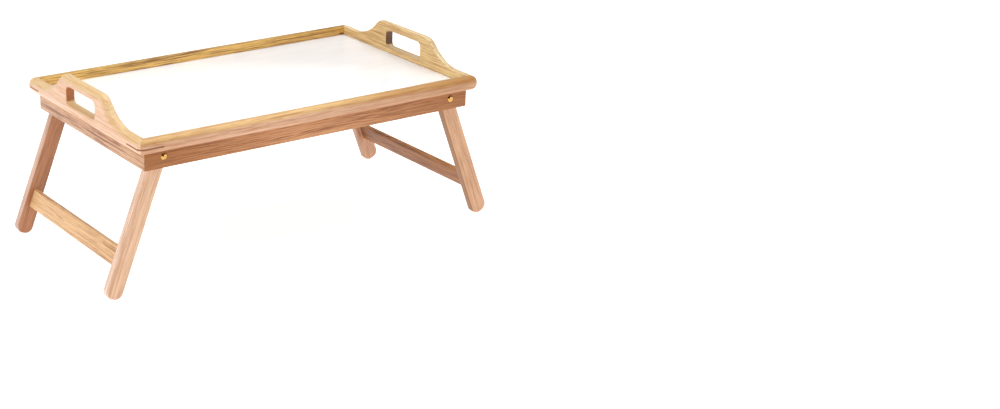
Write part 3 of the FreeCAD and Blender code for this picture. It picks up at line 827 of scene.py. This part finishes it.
leg_blank, stretcher_blank = leg(), stretcher()
for side, end in (("left", -1), ("right", 1)):
    for row, place in (("front", -LEG_MIDDLE), ("rear", LEG_MIDDLE)):
        name = f"{row}_{side}_leg"
        finish_piece(standing(leg_blank, f"{name}_shaped", end, place), name, woods[name], arris=0)
    name = f"{side}_stretcher"
    finish_piece(standing(stretcher_blank, f"{name}_shaped", end), name, woods[name], arris=0)
bpy.data.objects.remove(leg_blank)
bpy.data.objects.remove(stretcher_blank)

brass = shiny_metal("polished brass", linear(206, 158, 88), linear(92, 56, 24), 0.08,
                    BOLT_HEAD_DIAMETER / 2)
zinc = shiny_metal("bright zinc", (0.68, 0.69, 0.70), (0.45, 0.46, 0.46), 0.24, NUT_ACROSS_FLATS / 2)
at_pivots(pivot_bolt(), "bolt", "pivot_bolts", brass, APRON_HALF_DEPTH)
nut = disc(NUT_ACROSS_FLATS / 2 / math.cos(math.pi / NUT_SIDES), NUT_HEIGHT, NUT_SIDES)
at_pivots(bored(nut, (NUT_ACROSS_FLATS - BOLT_DIAMETER) / 2), "lock_nut", "lock_nuts", zinc, NUT_FACE)
washer = disc(SPACER_DIAMETER / 2, SPACER_THICKNESS, TURNED_SIDES)
at_pivots(bored(washer, (SPACER_DIAMETER - BOLT_DIAMETER) / 2), "leg_spacer", "leg_spacers", nylon(),
          APRON_HALF_DEPTH - APRON_THICKNESS)

# ---------------------------------------------------------------- floor, light and camera
DARK_SIDE = Vector((-0.1, -0.94, 0.33))   # the unlit room behind the photographer
DARK_EDGE = (0.45, 0.70)                  # where the light falls off towards it
ROOM, DARK_ROOM = (1, 1, 1), (0.03, 0.03, 0.03)
COVE = (2.4, 2.4, 2.4)                    # the white cove behind the floor, against the soft room
COVE_EDGE = (0.05, 0.16)                  # where the cove ends, by height
ROOM_STRENGTH = 0.43
LAMPS_AIM = (0, 0, 0.2)

# Fitted to the picture, with the table in its left half.
CAMERA_PLACE = (-1.50933, -2.43155, 1.13482)
CAMERA_TILT, CAMERA_TURN = math.radians(70.3005), math.radians(-31.7149)
CAMERA_LENS = 65.509
CAMERA_SHIFT = (0.25, -0.0445)


def glowing_paper():
    """The floor's finish: matt paper that glows a little."""
    material, tree = new_material("pale floor")
    paper = node(tree, "ShaderNodeBsdfPrincipled", {"Base Color": (0.6, 0.6, 0.6, 1), "Roughness": 0.9})
    glow = node(tree, "ShaderNodeEmission", {"Color": (1, 1, 1, 1), "Strength": 0.82})
    both = node(tree, "ShaderNodeAddShader", {0: paper.outputs[0], 1: glow.outputs[0]})
    node(tree, "ShaderNodeOutputMaterial", {"Surface": both.outputs[0]})
    return material


def surroundings(scene):
    """A soft white room with a cove along the horizon, dark behind the photographer."""
    world = bpy.data.worlds.new("studio")
    scene.world = world
    world.use_nodes = True
    tree = world.node_tree
    sky = node(tree, "ShaderNodeTexCoord").outputs["Generated"]
    towards_front = node(tree, "ShaderNodeVectorMath", {0: sky, 1: DARK_SIDE}, operation="DOT_PRODUCT")
    tone = mixed(tree, eased(tree, towards_front.outputs["Value"], *DARK_EDGE), ROOM, DARK_ROOM)
    height = node(tree, "ShaderNodeSeparateXYZ", {"Vector": sky}).outputs["Z"]
    tone = mixed(tree, eased(tree, height, *COVE_EDGE), COVE, tone)
    tree.links.new(tone, tree.nodes["Background"].inputs["Color"])
    tree.nodes["Background"].inputs["Strength"].default_value = ROOM_STRENGTH


def softbox(name, place, size, watts, colour):
    """A soft rectangular lamp that points at the table."""
    bpy.ops.object.light_add(type="AREA", location=place)
    lamp = bpy.context.object
    lamp.name = name
    lamp.data.shape = "RECTANGLE"
    lamp.data.size, lamp.data.size_y = size
    lamp.data.energy = watts
    lamp.data.color = colour
    lamp.rotation_euler = (Vector(LAMPS_AIM) - Vector(place)).to_track_quat("-Z", "Y").to_euler()


bpy.ops.object.select_all(action="DESELECT")
bpy.ops.mesh.primitive_plane_add(size=FLOOR_SIZE, location=(0, 0, -FLOOR_DROP))
floor = bpy.context.object
floor.name = "floor"
floor.data.materials.append(glowing_paper())

scene = bpy.context.scene
surroundings(scene)
scene.view_settings.view_transform = "Standard"
softbox("top light", (0.15, 0.2, 2.3), (2.8, 2.2), 62, (1, 1, 1))
softbox("left light", (-2.2, -1.1, 1.2), (1.4, 1.4), 23, (1, 0.97, 0.95))
softbox("front light", (1.3, -2.5, 0.8), (1.0, 0.7), 12, (1, 0.98, 0.96))

camera_data = bpy.data.cameras.new("camera")
camera = bpy.data.objects.new("camera", camera_data)
scene.collection.objects.link(camera)
camera.location = CAMERA_PLACE
camera.rotation_euler = (CAMERA_TILT, 0, CAMERA_TURN)
camera_data.lens = CAMERA_LENS
camera_data.shift_x, camera_data.shift_y = CAMERA_SHIFT
scene.camera = camera
